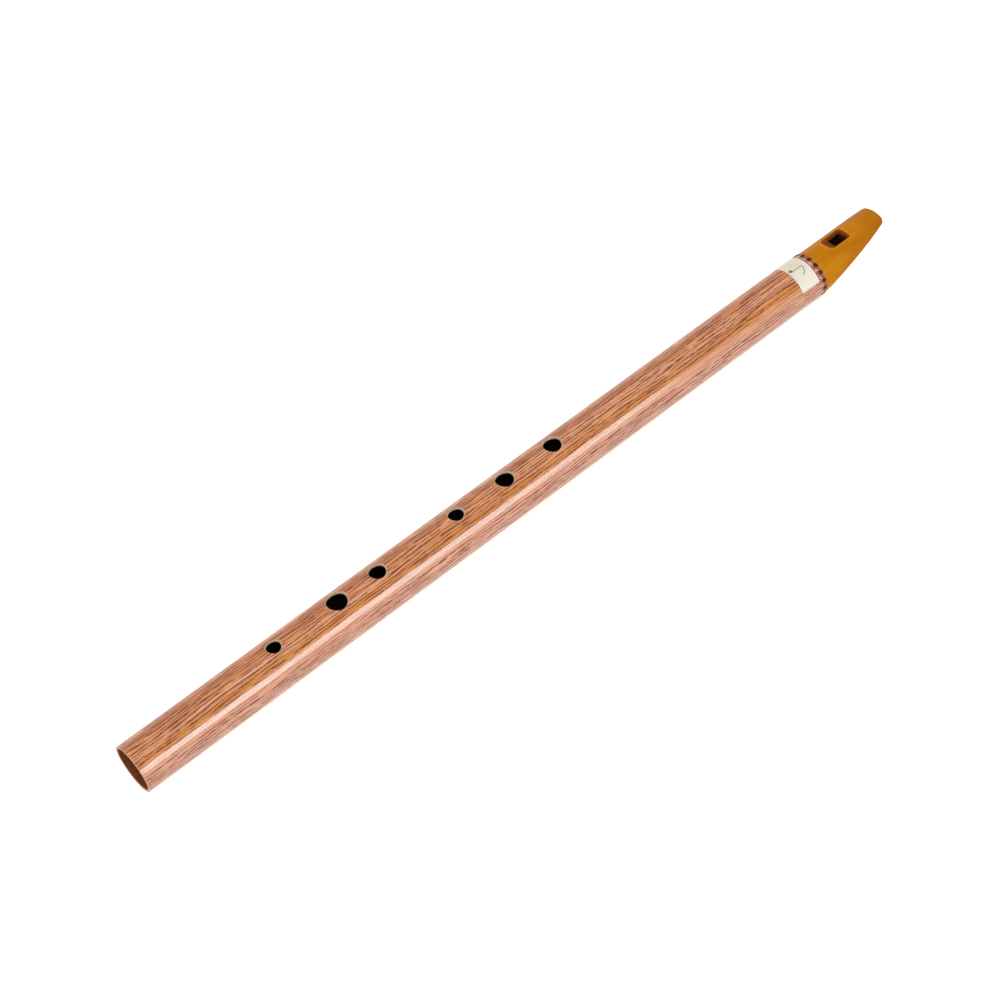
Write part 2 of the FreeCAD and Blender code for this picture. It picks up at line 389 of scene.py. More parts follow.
def grain_film_material(radius):
    """Printed oak grain: warm bands, a golden streak and many thin wavy dark lines, and painted
    light.
    """
    surface = Surface("grain_film", roughness=0.26, specular=0.12, coat=0.5, coat_roughness=0.16)
    x, y, z = surface.point()
    angle = surface.angle(y, z)
    turn = surface.math("WRAP", surface.math("SUBTRACT", angle, SEAM_ANGLE), 2 * math.pi, 0.0)
    across = surface.math("MULTIPLY", turn, radius / MM)
    drift = surface.noise(surface.stretched(x, across, 0.014, 0.07), 3.0)
    drift_width = 4.0
    across = surface.math("MULTIPLY_ADD", drift, drift_width, across)

    bands = surface.noise(surface.stretched(x, across, 0.004, 0.25), 2.0)
    colour = surface.mix(surface.ramp(bands, 0.36, 0.62), OAK, PALE_OAK)
    rose = surface.noise(surface.stretched(x, across, 0.006, 0.5, 31.0), 2.0)
    rose = surface.ramp(rose, 0.48, 0.66, 0.0, 0.6)
    # Painted light: the lower side, towards -Y, is lightened to rose where the light falls most.
    painted_light_side = near_angle(surface, angle, LIT_SIDE_ANGLE, inside=18, outside=30)
    rose = surface.math("MAXIMUM", rose, surface.math("MULTIPLY", 0.8, painted_light_side))
    colour = surface.mix(rose, colour, ROSE_OAK_AND_LIT_SIDE)
    shade = near_angle(surface, angle, SHADE_ANGLE, inside=6, outside=14)
    colour = surface.mix(surface.math("MULTIPLY", 0.55, shade), colour, SHADED_OAK)

    # The golden streak has a ragged edge, and follows the drift about its middle.
    streak = ((STREAK_ANGLE - SEAM_ANGLE) % (2 * math.pi)) * radius / MM + drift_width / 2
    ragged = surface.noise(surface.stretched(x, across, 0.05, 0.9, 63.0), 3.0)
    ragged_width = 2.4
    away = surface.math("ABSOLUTE", surface.math("SUBTRACT", across, streak))
    away = surface.math("SUBTRACT", away, ragged_width / 2)
    away = surface.math("MULTIPLY_ADD", ragged, ragged_width, away)
    gold = surface.ramp(away, 0.9, 2.5, 0.85, 0.0)
    colour = surface.mix(gold, colour, GOLDEN_OAK)

    fibres = surface.noise(surface.stretched(x, across, 0.10, 4.0), 3.0, 0.7)
    colour = surface.mix(surface.ramp(fibres, 0.35, 0.7, 0.0, 0.35), colour, OAK_FIBRE)
    light = surface.noise(surface.stretched(x, across, 0.05, 1.4, 41.0), 2.0)
    colour = surface.mix(surface.ramp(light, 0.52, 0.66, 0.0, 0.5), colour, LIGHT_OAK)

    # The dark lines are faded along the stripe of gloss as a painted highlight, a little fainter
    # where the rose tint and painted light lie, and are broken.
    stripe_highlight_fade = near_angle(surface, angle, STRIPE_ANGLE, inside=7, outside=13)
    strength = surface.math("MULTIPLY_ADD", stripe_highlight_fade, -0.6, 1.0)
    strength = surface.math("MULTIPLY", strength, surface.math("MULTIPLY_ADD", rose, -0.1, 1.0))
    broken = surface.noise(surface.stretched(x, across, 0.24, 1.5, 53.0), 2.0, 0.6)
    strength = surface.math("MULTIPLY", strength, surface.ramp(broken, 0.38, 0.52, 0.45, 1.0))
    fine = grain_lines(surface, x, across, spacing=0.9, width=0.23, shift=7.0)
    fine = surface.math("MULTIPLY", surface.math("MULTIPLY", 0.75, strength), fine)
    colour = surface.mix(fine, colour, FINE_LINE)
    long = grain_lines(surface, x, across, spacing=1.6, width=0.26, shift=29.0)
    long = surface.math("MULTIPLY", surface.math("MULTIPLY", 0.92, strength), long)
    colour = surface.mix(long, colour, LONG_LINE)

    pores = surface.math("MAXIMUM", long, surface.math("MULTIPLY", fine, 0.5))
    surface.bump(surface.math("MULTIPLY", pores, -1.0), 0.08, 0.04 * MM)
    return surface.finish(colour, surface.ramp(pores, 0.0, 1.0, 0.24, 0.3))


def dot_band_material(radius, tube_end):
    """The film's end: a mottled band with a ring of dark dots, small dots and pale spots."""
    surface = Surface("dot_band", roughness=0.38, specular=0.06)
    x, y, z = surface.point()
    angle = surface.angle(y, z)
    across = surface.math("MULTIPLY", angle, radius / MM)
    from_end = surface.math("SUBTRACT", x, tube_end / MM)
    mottle = surface.noise(surface.vector(x, across, 0.0), 3.0, 0.6)
    colour = surface.mix(surface.ramp(mottle, 0.4, 0.62), BAND, PALE_BAND)
    streaks = surface.noise(surface.stretched(x, across, 0.12, 1.2, 5.0), 3.0, 0.6)
    colour = surface.mix(surface.ramp(streaks, 0.5, 0.6, 0.0, 0.7), colour, BAND_STREAK)
    amber = surface.ramp(from_end, *BAND_TURNS_AMBER)
    colour = surface.mix(surface.math("MULTIPLY", amber, 0.8), colour, BAND_AMBER)

    pale_along = surface.math("ADD", from_end, PALE_DOT_SETBACK / MM)
    pale = ring_of_dots(surface, pale_along, angle, radius, PALE_DOT_RADIUS, half_step=True)
    colour = surface.mix(surface.math("MULTIPLY", pale, 0.75), colour, PALE_DOT)
    dot_along = surface.math("ADD", from_end, DOT_SETBACK / MM)
    small = ring_of_dots(surface, dot_along, angle, radius, SMALL_DOT_RADIUS, half_step=True)
    colour = surface.mix(small, colour, SMALL_DOT)
    dots = ring_of_dots(surface, dot_along, angle, radius, DOT_RADIUS)
    colour = surface.mix(dots, colour, DOT)
    surface.bump(mottle, 0.1, 0.04 * MM)
    return surface.finish(colour)


def speckled_material(name, colours, roughness, specular=0.4, scale=3.0, amount=0.5, painted_shade=None):
    """A plain substance in a base colour with fine irregular flecks in a second one.

    The shade colour, if given, is painted shade in the bore, far in from the bell.
    """
    surface = Surface(name, roughness, specular)
    x, y, z = surface.point()
    flecks = surface.noise(surface.scaled(x, y, z, scale * 0.4, scale), 4.0, 0.65)
    colour = surface.mix(surface.ramp(flecks, 0.35, 0.7, 0.0, amount), *colours)
    if painted_shade is not None:
        # Painted shade: the bore goes dark far in from the bell.
        colour = surface.mix(surface.ramp(x, *BORE_DARKENS), colour, painted_shade)
    surface.bump(flecks, 0.15, 0.05 * MM)
    rough = surface.ramp(flecks, 0.3, 0.7, roughness - 0.05, roughness + 0.1)
    return surface.finish(colour, rough)


def window_distance(surface, x, y, z):
    """Distance from the window's outline seen from above, in millimetres; negative inside."""
    middle = (WINDOW_START + WINDOW_END) / 2 / MM
    side = surface.math("MULTIPLY", y, math.cos(WINDOW_TURN))
    side = surface.math("MULTIPLY_ADD", z, -math.sin(WINDOW_TURN), side)
    side = surface.math("ABSOLUTE", side)
    along = surface.math("SUBTRACT", x, middle)
    corner = surface.ramp(along, -0.1, 0.1, WINDOW_CORNER / MM, WINDOW_FAR_CORNER / MM)
    half_length = (WINDOW_END - WINDOW_START) / 2 / MM
    reach = surface.math("SUBTRACT", surface.math("ABSOLUTE", along), half_length)
    reach = surface.math("MAXIMUM", surface.math("ADD", reach, corner), 0.0)
    side = surface.math("SUBTRACT", side, WINDOW_WIDTH / 2 / MM)
    side = surface.math("MAXIMUM", surface.math("ADD", side, corner), 0.0)
    squares = surface.math("MULTIPLY_ADD", side, side, surface.math("MULTIPLY", reach, reach))
    return surface.math("SUBTRACT", surface.math("SQRT", squares), corner)


def head_wood_material():
    """Lacquered amber wood with fine straight grain, and a painted highlight along the window's
    edge.
    """
    surface = Surface("amber_wood", roughness=0.3, specular=0.06)
    x, y, z = surface.point()
    clouds = surface.noise(surface.scaled(x, y, z, 0.05, 0.16), 2.0)
    colour = surface.mix(surface.ramp(clouds, 0.3, 0.7), AMBER, BRIGHT_AMBER)
    fibres = surface.noise(surface.scaled(x, y, z, 0.12, 2.6), 4.0, 0.65)
    colour = surface.mix(surface.ramp(fibres, 0.4, 0.75, 0.0, 0.35), colour, AMBER_FIBRE)
    reddish = surface.ramp(surface.angle(y, z), 0.1, 0.7, 0.0, 0.35)
    colour = surface.mix(reddish, colour, REDDISH_AMBER)
    shaded = surface.ramp(x, *BEAK_DARKENS, 0.0, 0.55)
    colour = surface.mix(shaded, colour, BEAK_AMBER)
    # Painted highlight along the window's rim: high on the head, fainter towards +Y, where the edge
    # would catch the light.
    distance = window_distance(surface, x, y, z)
    lip_highlight = surface.ramp(distance, WINDOW_LIP / MM * 0.6, WINDOW_LIP / MM, 0.8, 0.0)
    lip_highlight = surface.math("MULTIPLY", lip_highlight, surface.ramp(z, *LIP_HIGHLIGHT_RISES))
    lip_highlight = surface.math("MULTIPLY", lip_highlight, surface.ramp(y, *LIP_HIGHLIGHT_FADES, 1.0, 0.25))
    colour = surface.mix(lip_highlight, colour, PAINTED_LIP_HIGHLIGHT)
    surface.bump(fibres, 0.1, 0.04 * MM)
    return surface.finish(colour, surface.ramp(fibres, 0.3, 0.7, 0.26, 0.34))


def carved_wood_material(name, light, dark, painted_shade, radius, specular=0.1):
    """Bare wood inside the head, with painted shade that darkens the deeper it lies and painted
    shade on the labium ramp.
    """
    surface = Surface(name, roughness=0.62, specular=specular)
    x, y, z = surface.point()
    fibres = surface.noise(surface.scaled(x, y, z, 0.3, 3.0), 4.0, 0.65)
    colour = surface.mix(surface.ramp(fibres, 0.35, 0.7), light, dark)
    # Painted shade: the wood goes over to the shade colour with depth below the head's skin.
    squares = surface.math("MULTIPLY_ADD", y, y, surface.math("MULTIPLY", z, z))
    depth = surface.math("SUBTRACT", radius / MM, surface.math("SQRT", squares))
    colour = surface.mix(surface.ramp(depth, *RECESS_SHADE_DEPTHS), colour, painted_shade)
    # Painted shade on the labium ramp below the window.
    ramp_shade = surface.ramp(x, *RAMP_BEGINS, 0.0, 0.55)
    for value, edge in ((x, RAMP_ENDS), (y, RAMP_SIDE)):
        ramp_shade = surface.math("MULTIPLY", ramp_shade, surface.ramp(value, *edge, 1.0, 0.0))
    colour = surface.mix(ramp_shade, colour, painted_shade)
    surface.bump(fibres, 0.3, 0.06 * MM)
    return surface.finish(colour, surface.ramp(fibres, 0.3, 0.7, 0.55, 0.7))


def paper_material():
    """Cream label paper under lacquer: short fibres, warmer over the top, with a painted highlight
    by the head.
    """
    surface = Surface("label_paper", roughness=0.38, specular=0.4, coat=0.25, coat_roughness=0.2)
    x, y, z = surface.point()
    fibres = surface.noise(surface.vector(x, surface.math("MULTIPLY", y, 2.2), z), 5.0, 0.7, 1.5)
    colour = surface.mix(surface.ramp(fibres, 0.3, 0.75), PAPER, DULL_PAPER)
    colour = surface.mix(surface.ramp(y, *PAPER_WARMS, 0.0, 0.7), colour, WARM_PAPER)
    # Painted highlight: a pale lavender band along the label's edge by the head.
    colour = surface.mix(surface.ramp(x, *PAPER_HIGHLIGHT_SPAN, 0.0, 0.7), colour, PAPER_HIGHLIGHT)
    surface.bump(fibres, 0.12, 0.04 * MM)
    return surface.finish(colour, surface.ramp(fibres, 0.3, 0.7, 0.34, 0.46))


def ink_material():
    """Grey ink, slightly blotted."""
    surface = Surface("label_ink", roughness=0.45, specular=0.35)
    x, y, z = surface.point()
    blots = surface.noise(surface.vector(x, y, z), 3.0)
    return surface.finish(surface.mix(surface.ramp(blots, 0.3, 0.7), INK, PALE_INK))


def rubber_material():
    """Black rubber with a fine grit."""
    surface = Surface("seal_rubber", roughness=0.6, specular=0.4)
    x, y, z = surface.point()
    grit = surface.noise(surface.scaled(x, y, z, 4.0, 4.0), 4.0)
    colour = surface.mix(surface.ramp(grit, 0.3, 0.7), RUBBER, PALE_RUBBER)
    surface.bump(grit, 0.2, 0.04 * MM)
    return surface.finish(colour, surface.ramp(grit, 0.3, 0.7, 0.52, 0.68))


# ---------------------------------------------------------------- tube pieces


def round_tube(x, angle, radius):
    """The point at a place along the tube, an angle round it and a distance from its axis."""
    return Vector((x, radius * math.sin(angle), radius * math.cos(angle)))


def measured_holes():
    """(x, radius, y) of each finger hole, from the openings that the record states."""
    holes = []
    for opening in frame["record"]["physics"]["openings"]:
        if opening["name"].endswith("finger_hole"):
            low, high = opening["box_m"]
            centre = (low[0] + high[0]) / 2
            radius = (high[0] - low[0]) / 2 * HOLE_TO_OPENING
            holes.append((centre, radius, 0.0))
    return sorted(holes)


def spread(places):
    """The same places with more between them, where two are over ROW_STEP apart."""
    rows = [places[0]]
    for place in places[1:]:
        steps = max(1, math.ceil((place - rows[-1]) / ROW_STEP))
        first = rows[-1]
        rows += [first + (place - first) * step / steps for step in range(1, steps + 1)]
    return rows


def sleeve_rows(start, end, holes):
    """Places of a sleeve's rows: PATCH_ROWS steps across each hole's patch, wider ones between."""
    places = [start]
    for centre, radius, _ in holes:
        reach = radius + PATCH_MARGIN
        places += [centre + reach * (2 * k / PATCH_ROWS - 1) for k in range(PATCH_ROWS + 1)]
    return spread(places + [end])


def fine_places(start, end):
    """Places of the finer rows, the first one a step past the last coarse row."""
    steps = math.ceil((end - start) / FINE_STEP)
    return [start + (end - start) * step / steps for step in range(1, steps + 1)]


def fine_angles(angles):
    """The same angles with FINE_SPLIT - 1 more between each two."""
    split = [first + (after - first) * part / FINE_SPLIT
             for first, after in zip(angles, angles[1:]) for part in range(FINE_SPLIT)]
    return split + [angles[-1]]


def rounding(edge):
    """(in from the side, in from the end) along a quarter round, from the side to the end."""
    steps = [math.radians(step) for step in ROUNDING_STEPS]
    return [(edge * (1 - math.cos(step)), edge * (1 - math.sin(step))) for step in steps]


def bridge(mesh, first, second, closed, material):
    """Quads between two rows of vertices."""
    count = len(first)
    for k in range(count if closed else count - 1):
        after = (k + 1) % count
        face = mesh.faces.new((first[k], first[after], second[after], second[k]))
        face.material_index = material


def hole_edge(hole, radius, turn, surface_radius, depth):
    """A point on a hole's wall or lip, depth below the surface that it meets."""
    centre, _, shift = hole
    y = shift + radius * math.sin(turn)
    height = math.sqrt(surface_radius ** 2 - y ** 2) - depth
    return Vector((centre + radius * math.cos(turn), y, height))


class Sleeve:
    """A pierced tube wall: outer skin, inner skin, rounded ends and rounded hole edges.

    bore(x) gives the inner radius; a step in it is a place listed in steps. A hole's outer
    edge is rounded by lip, every other edge by edge. The last stretch, from fine_start, has
    FINE_SPLIT times as many columns.
    """

    OUTSIDE, CUT, INSIDE, DOT_BAND = range(4)

    def __init__(self, outer, bore, start, end, holes, edge, lip,
                 gap=0.0, steps=(), fine_start=None):
        self.mesh = bmesh.new()
        self.outer, self.edge, self.lip = outer, edge, lip
        self.holes, self.closed = holes, gap == 0
        turn = 2 * math.pi / COLUMNS
        self.angles = [SEAM_ANGLE + k * turn for k in range(COLUMNS + (gap > 0))]
        if gap:
            self.angles[0] += gap / 2 / outer
            self.angles[-1] -= gap / 2 / outer
        self.top = round((2 * math.pi - SEAM_ANGLE) / turn)
        coarse_end = end - edge if fine_start is None else fine_start
        places = sleeve_rows(start + edge, coarse_end, holes)
        last_places = [] if fine_start is None else fine_places(fine_start, end - edge)
        in_rows = [(x, bore(x)) for x in places]
        for step in steps:
            in_rows += [(step, bore(step - edge)), (step, bore(step + edge))]
        in_rows.sort()
        out_grid, out_mouths = self.skin([(x, outer) for x in places], lip, self.OUTSIDE)
        in_grid, in_mouths = self.skin(in_rows, edge, self.INSIDE)
        for hole, mouth, inner in zip(holes, out_mouths, in_mouths):
            self.hole_wall(hole, mouth, inner, bore(hole[0]))
        self.rim(out_grid[0], in_grid[0], start, 1, bore(start), self.angles)
        end_angles = self.angles
        if last_places:
            end_angles = fine_angles(self.angles)
            self.fine_skin = self.fine_rows(out_grid, last_places, outer, end_angles, self.OUTSIDE)
            self.fine_rows(in_grid, last_places, bore(end), end_angles, self.INSIDE)
        self.rim(out_grid[-1], in_grid[-1], end, -1, bore(end), end_angles)
        if gap:
            for side in (0, -1):
                self.seam_wall(out_grid, in_grid, side)
        loose = [vert for vert in self.mesh.verts if not vert.link_faces]
        bmesh.ops.delete(self.mesh, geom=loose, context="VERTS")
        bmesh.ops.recalc_face_normals(self.mesh, faces=self.mesh.faces)

    def ring(self, x, radius, angles):
        """A row of vertices round the tube."""
        return [self.mesh.verts.new(round_tube(x, angle, radius)) for angle in angles]

    def skin(self, rows, lip, material):
        """A grid over one surface, with a patch of rings round each hole."""
        grid = [self.ring(x, radius, self.angles) for x, radius in rows]
        left, right = self.top - PATCH_COLUMNS, self.top + PATCH_COLUMNS
        patches = [self.patch_rows(rows, hole) for hole in self.holes]
        count = len(self.angles)
        for i in range(len(rows) - 1):
            pierced = any(first <= i < last for first, last in patches)
            for j in range(count if self.closed else count - 1):
                if pierced and left <= j < right:
                    continue
                after = (j + 1) % count
                face = self.mesh.faces.new(
                    (grid[i][j], grid[i][after], grid[i + 1][after], grid[i + 1][j])
                )
                face.material_index = material
        mouths = [self.patch(grid, rows, hole, span, lip, material)
                  for hole, span in zip(self.holes, patches)]
        return grid, mouths

    def fine_rows(self, grid, places, radius, angles, material):
        """Adds the finer rows to the end of a grid; returns them."""
        fine = [self.ring(x, radius, angles) for x in places]
        for k, vert in enumerate(grid[-1][:-1]):
            far = fine[0][k * FINE_SPLIT:(k + 1) * FINE_SPLIT + 1]
            face = self.mesh.faces.new([vert] + far + [grid[-1][k + 1]])
            face.material_index = material
        for row, after in zip(fine, fine[1:]):
            bridge(self.mesh, row, after, False, material)
        grid += fine
        return fine

    def patch_rows(self, rows, hole):
        """The first and last row of the patch round a hole."""
        centre, radius, _ = hole
        reach = radius + PATCH_MARGIN
        inside = [i for i, (x, _) in enumerate(rows) if abs(x - centre) < reach + ROW_TOLERANCE]
        return inside[0], inside[-1]

    def patch(self, grid, rows, hole, span, edge, material):
        """Rings from the patch's square border in to the hole's lip; returns the lip's ring."""
        first, last = span
        left, right = self.top - PATCH_COLUMNS, self.top + PATCH_COLUMNS
        loop = [(first, j) for j in range(left, right)]
        loop += [(i, right) for i in range(first, last)]
        loop += [(last, j) for j in range(right, left, -1)]
        loop += [(i, left) for i in range(last, first, -1)]
        centre, radius, shift = hole
        surface_radius = rows[first][1]
        lip = radius + edge
        corners = []
        for i, j in loop:
            x, angle = rows[i][0], self.angles[j] - 2 * math.pi
            turn = math.atan2(surface_radius * math.sin(angle) - shift, x - centre)
            mouth_angle = math.asin((shift + lip * math.sin(turn)) / surface_radius)
            corners.append((x, angle, turn, centre + lip * math.cos(turn), mouth_angle))
        turns = [corner[2] for corner in corners]
        ring = [grid[i][j] for i, j in loop]
        for share in reversed((0.0,) + PATCH_RINGS):
            inner = []
            for x, angle, _, mouth_x, mouth_angle in corners:
                place_x = mouth_x + (x - mouth_x) * share
                place_angle = mouth_angle + (angle - mouth_angle) * share
                inner.append(self.mesh.verts.new(
                    round_tube(place_x, place_angle, surface_radius)))
            bridge(self.mesh, ring, inner, True, material)
            ring = inner
        return ring, turns

    def hole_wall(self, hole, mouth, inner, inner_radius):
        """The wall of a hole, from its rounded outer lip to its rounded inner one."""
        radius = hole[1]
        ring, turns = mouth
        levels = [(self.outer, radius + end, side) for side, end in rounding(self.lip)]
        levels += [(inner_radius, radius + end, -side)
                   for side, end in reversed(rounding(self.edge))]
        for surface_radius, lip, depth in levels:
            below = [self.mesh.verts.new(hole_edge(hole, lip, turn, surface_radius, depth))
                     for turn in turns]
            bridge(self.mesh, ring, below, True, self.CUT)
            ring = below
        bridge(self.mesh, ring, inner[0], True, self.CUT)

    def rim(self, outer_row, inner_row, end, inward, inner_radius, angles):
        """The flat end between the two skins; inward is the direction of x away from the end."""
        levels = [(end + inward * far, self.outer - side) for side, far in rounding(self.edge)]
        levels += [(end + inward * far, inner_radius + side)
                   for side, far in reversed(rounding(self.edge))]
        ring = outer_row
        for x, radius in levels:
            below = self.ring(x, radius, angles)
            bridge(self.mesh, ring, below, self.closed, self.CUT)
            ring = below
        bridge(self.mesh, ring, inner_row, self.closed, self.CUT)

    def seam_wall(self, out_grid, in_grid, side):
        """The cut along one side of the seam's gap."""
        outer = [row[side] for row in out_grid]
        inner = [row[side] for row in in_grid]
        bridge(self.mesh, outer, inner, False, self.CUT)

    def piece(self, name, materials):
        return as_piece(self.mesh, name, materials)


def as_piece(mesh, name, materials):
    """Turns a bmesh into an object with smooth shading."""
    data = bpy.data.meshes.new(name)
    mesh.to_mesh(data)
    mesh.free()
    piece = bpy.data.objects.new(name, data)
    bpy.context.collection.objects.link(piece)
    for material in materials:
        data.materials.append(material)
    data.shade_smooth()
    return piece


def dot_depth(turn, along, radius):
    """How far a dot's hollow goes in, at an angle and a distance from the ring of dots."""
    spacing = 2 * math.pi / DOT_COUNT
    off = (turn - DOT_PHASE + spacing / 2) % spacing - spacing / 2
    away = math.hypot(off * radius, along) / DOT_RADIUS
    return DOT_DEPTH * (1 - away ** 2) if away < 1 else 0.0


def press_dots(rows, radius, tube_end):
    """Moves the vertices that lie in a dot down to the bottom of its hollow."""
    for row in rows:
        for vert in row:
            turn = math.atan2(vert.co.y, vert.co.z)
            depth = dot_depth(turn, vert.co.x - tube_end + DOT_SETBACK, radius)
            vert.co = round_tube(vert.co.x, turn, radius - depth)


def make_tube():
    """The printed film and the tube's wall under it; returns the film's radius."""
    film_low, film_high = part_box("wood_grain_wrap")
    core_low, core_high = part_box("body_tube")
    film_radius, core_radius, tube_end = film_high.y, core_high.y, film_high.x
    mounts = {mount["name"]: mount for mount in frame["record"]["mounts"]}
    bore_radius = mounts["bell_bore"]["dims"]["r_mm"] * MM
    socket_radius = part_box("seal_ring_outer")[1].y + SEAL_RING_CLEARANCE
    socket_start = core_high.x - SOCKET_DEPTH
    holes = measured_holes()
    film_holes = [(place + FILM_SHIFT[0], radius + FILM_CLEARANCE, FILM_SHIFT[1])
                  for place, radius, _ in holes]

    cut_edge = speckled_material(
        "cut_edge", CUT_EDGE, roughness=0.55, specular=0.3, scale=2.0, amount=0.6)
    core_outside = speckled_material("core_outside", CORE_OUTSIDE, roughness=0.5)
    core_inside = speckled_material(
        "core_inside", CORE_INSIDE, roughness=0.42, specular=0.12, scale=1.2, amount=0.9,
        painted_shade=CORE_PAINTED_SHADE)

    film = Sleeve(film_radius, lambda x: core_radius, film_low.x, tube_end, film_holes,
                  edge=FILM_EDGE, lip=FILM_EDGE, gap=SEAM_GAP, fine_start=tube_end - FINE_SETBACK)
    press_dots(film.fine_skin, film_radius, tube_end)
    film = film.piece("grain_film", [grain_film_material(film_radius), cut_edge, cut_edge,
                                     dot_band_material(film_radius, tube_end)])
    for face in film.data.polygons:
        if face.material_index == Sleeve.OUTSIDE and face.center.x > tube_end - BAND_SETBACK:
            face.material_index = Sleeve.DOT_BAND
    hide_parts("wood_grain_wrap")
    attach(film, "tube")

    core = Sleeve(core_radius, lambda x: bore_radius if x < socket_start else socket_radius,
                  core_low.x, core_high.x, holes,
                  edge=CORE_EDGE, lip=HOLE_CHAMFER, steps=[socket_start])
    core = core.piece("tube_wall", [core_outside, cut_edge, core_inside])
    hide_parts("body_tube")
    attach(core, "tube")
    return film_radius


# ---------------------------------------------------------------- label


def strip_solid(mesh, outline, radius, thickness):
    """Closed slab on the tube, from a grid of (x, angle) points given row by row."""
    skins = []
    for level in (radius, radius + thickness):
        skins.append([[mesh.verts.new(round_tube(x, angle, level)) for x, angle in row]
                      for row in outline])
    for skin in skins:
        for row, after in zip(skin, skin[1:]):
            bridge(mesh, row, after, False, 0)
    low, high = skins
    bridge(mesh, low[0], high[0], False, 0)
    bridge(mesh, low[-1], high[-1], False, 0)
    for side in (0, -1):
        bridge(mesh, [row[side] for row in low], [row[side] for row in high], False, 0)


def make_label(film_radius):
    """The paper strip glued round the film, with its mark on top."""
    low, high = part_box("key_label")
    thickness = high.z - film_radius - MARK_HEIGHT
    mesh = bmesh.new()
    width = high.x - low.x
    columns = [low.x, low.x + LABEL_MARGIN]
    columns += [low.x + width * k / LABEL_COLUMNS for k in range(1, LABEL_COLUMNS)]
    columns += [high.x - LABEL_MARGIN, high.x]
    outline = [[(x, LABEL_START_ANGLE + LABEL_ARC * k / LABEL_ROWS) for x in columns]
               for k in range(LABEL_ROWS + 1)]
    strip_solid(mesh, outline, film_radius, thickness)
    bmesh.ops.recalc_face_normals(mesh, faces=mesh.faces)
    label = as_piece(mesh, "paper_label", [paper_material()])
    keep_corners(label, LABEL_CORNER)
    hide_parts("key_label")
    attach(label, "tube")
    make_label_mark(low.x, film_radius + thickness)


def pen_line(points, width):
    """A stroke as rows of two edge points, in the label's own plane (along, across)."""
    rows = []
    for k, point in enumerate(points):
        before, after = points[max(k - 1, 0)], points[min(k + 1, len(points) - 1)]
        along = Vector((after[0] - before[0], after[1] - before[1])).normalized()
        side = Vector((-along.y, along.x)) * width / 2
        rows.append([tuple(Vector(point) - side), tuple(Vector(point) + side)])
    return rows


def make_label_mark(start, radius):
    """A plain quaver: stem, flag and round note, drawn with a thin pen along the tube."""
    foot = Vector((start + MARK_SETBACK, radius * MARK_ANGLE))
    top = foot.x + STEM_LENGTH
    stem = [(foot.x + STEM_LENGTH * k / STEM_STEPS, foot.y) for k in range(STEM_STEPS + 1)]
    flag = []
    for turn in [FLAG_BEND * k / FLAG_STEPS for k in range(FLAG_STEPS + 1)]:
        drop = FLAG_LENGTH * FLAG_DROP * (1 - math.cos(turn))
        flag.append((top - drop, foot.y - FLAG_LENGTH * math.sin(turn / FLAG_STRETCH)))
    note = []
    middle = foot + Vector((0, NOTE_SIZE[1]))
    for turn in [2 * math.pi * k / NOTE_SIDES for k in range(NOTE_SIDES + 1)]:
        reach = Vector((NOTE_SIZE[0] * math.cos(turn), NOTE_SIZE[1] * math.sin(turn)))
        note.append([tuple(middle + reach * share) for share in (NOTE_CORE, 1.0)])
    mesh = bmesh.new()
    for rows in (pen_line(stem, PEN_WIDTH), pen_line(flag, PEN_WIDTH), note):
        outline = [[(x, across / radius) for x, across in row] for row in rows]
        strip_solid(mesh, outline, radius, MARK_HEIGHT)
    bmesh.ops.remove_doubles(mesh, verts=mesh.verts, dist=WELD_DISTANCE)
    bmesh.ops.recalc_face_normals(mesh, faces=mesh.faces)
    mark = as_piece(mesh, "label_mark", [ink_material()])
    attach(mark, "tube")


def keep_corners(piece, angle):
    """Makes the smooth shading stop at corners sharper than the angle."""
    mesh = bmesh.new()
    mesh.from_mesh(piece.data)
    for edge in mesh.edges:
        if len(edge.link_faces) == 2 and edge.calc_face_angle(0) > angle:
            edge.smooth = False
    mesh.to_mesh(piece.data)
    mesh.free()


# ---------------------------------------------------------------- head


def apply_modifiers(piece):
    """Puts the mesh that the modifiers make in place of the piece's own."""
    graph = bpy.context.evaluated_depsgraph_get()
    data = bpy.data.meshes.new_from_object(piece.evaluated_get(graph))
    piece.modifiers.clear()
    piece.data = data


class HeadSkin:
    """The head's outside: a cylinder round X, and the beak's rounded underside that cuts it."""

    def __init__(self, radius, end):
        slope = math.atan2(BEAK_TIP_HEIGHT + radius, end - BEAK_START)
        self.radius = radius
        self.along = Vector((math.cos(slope), 0, math.sin(slope)))
        upward = Vector((-math.sin(slope), 0, math.cos(slope)))
        self.foot = Vector((BEAK_START, 0, -radius)) + upward * BEAK_ROUND_RADIUS

    def beak_offset(self, point):
        """Vector from the tilted axis straight out to the point."""
        reach = point - self.foot
        return reach - self.along * reach.dot(self.along)

    def depths(self, point):
        """How far the point lies in from the cylinder, and in from the beak's underside."""
        side = Vector((0, point.y, point.z))
        return self.radius - side.length, BEAK_ROUND_RADIUS - self.beak_offset(point).length

    def snapped(self, point):
        """The point moved onto the skin if it is nearly on it."""
        depth, beak_depth = self.depths(point)
        if abs(depth) < SKIN_SNAP and beak_depth > SKIN_SNAP:
            side = Vector((0, point.y, point.z))
            return point + side.normalized() * depth
        if abs(beak_depth) < SKIN_SNAP and depth > SKIN_SNAP:
            return point + self.beak_offset(point).normalized() * beak_depth
        return point


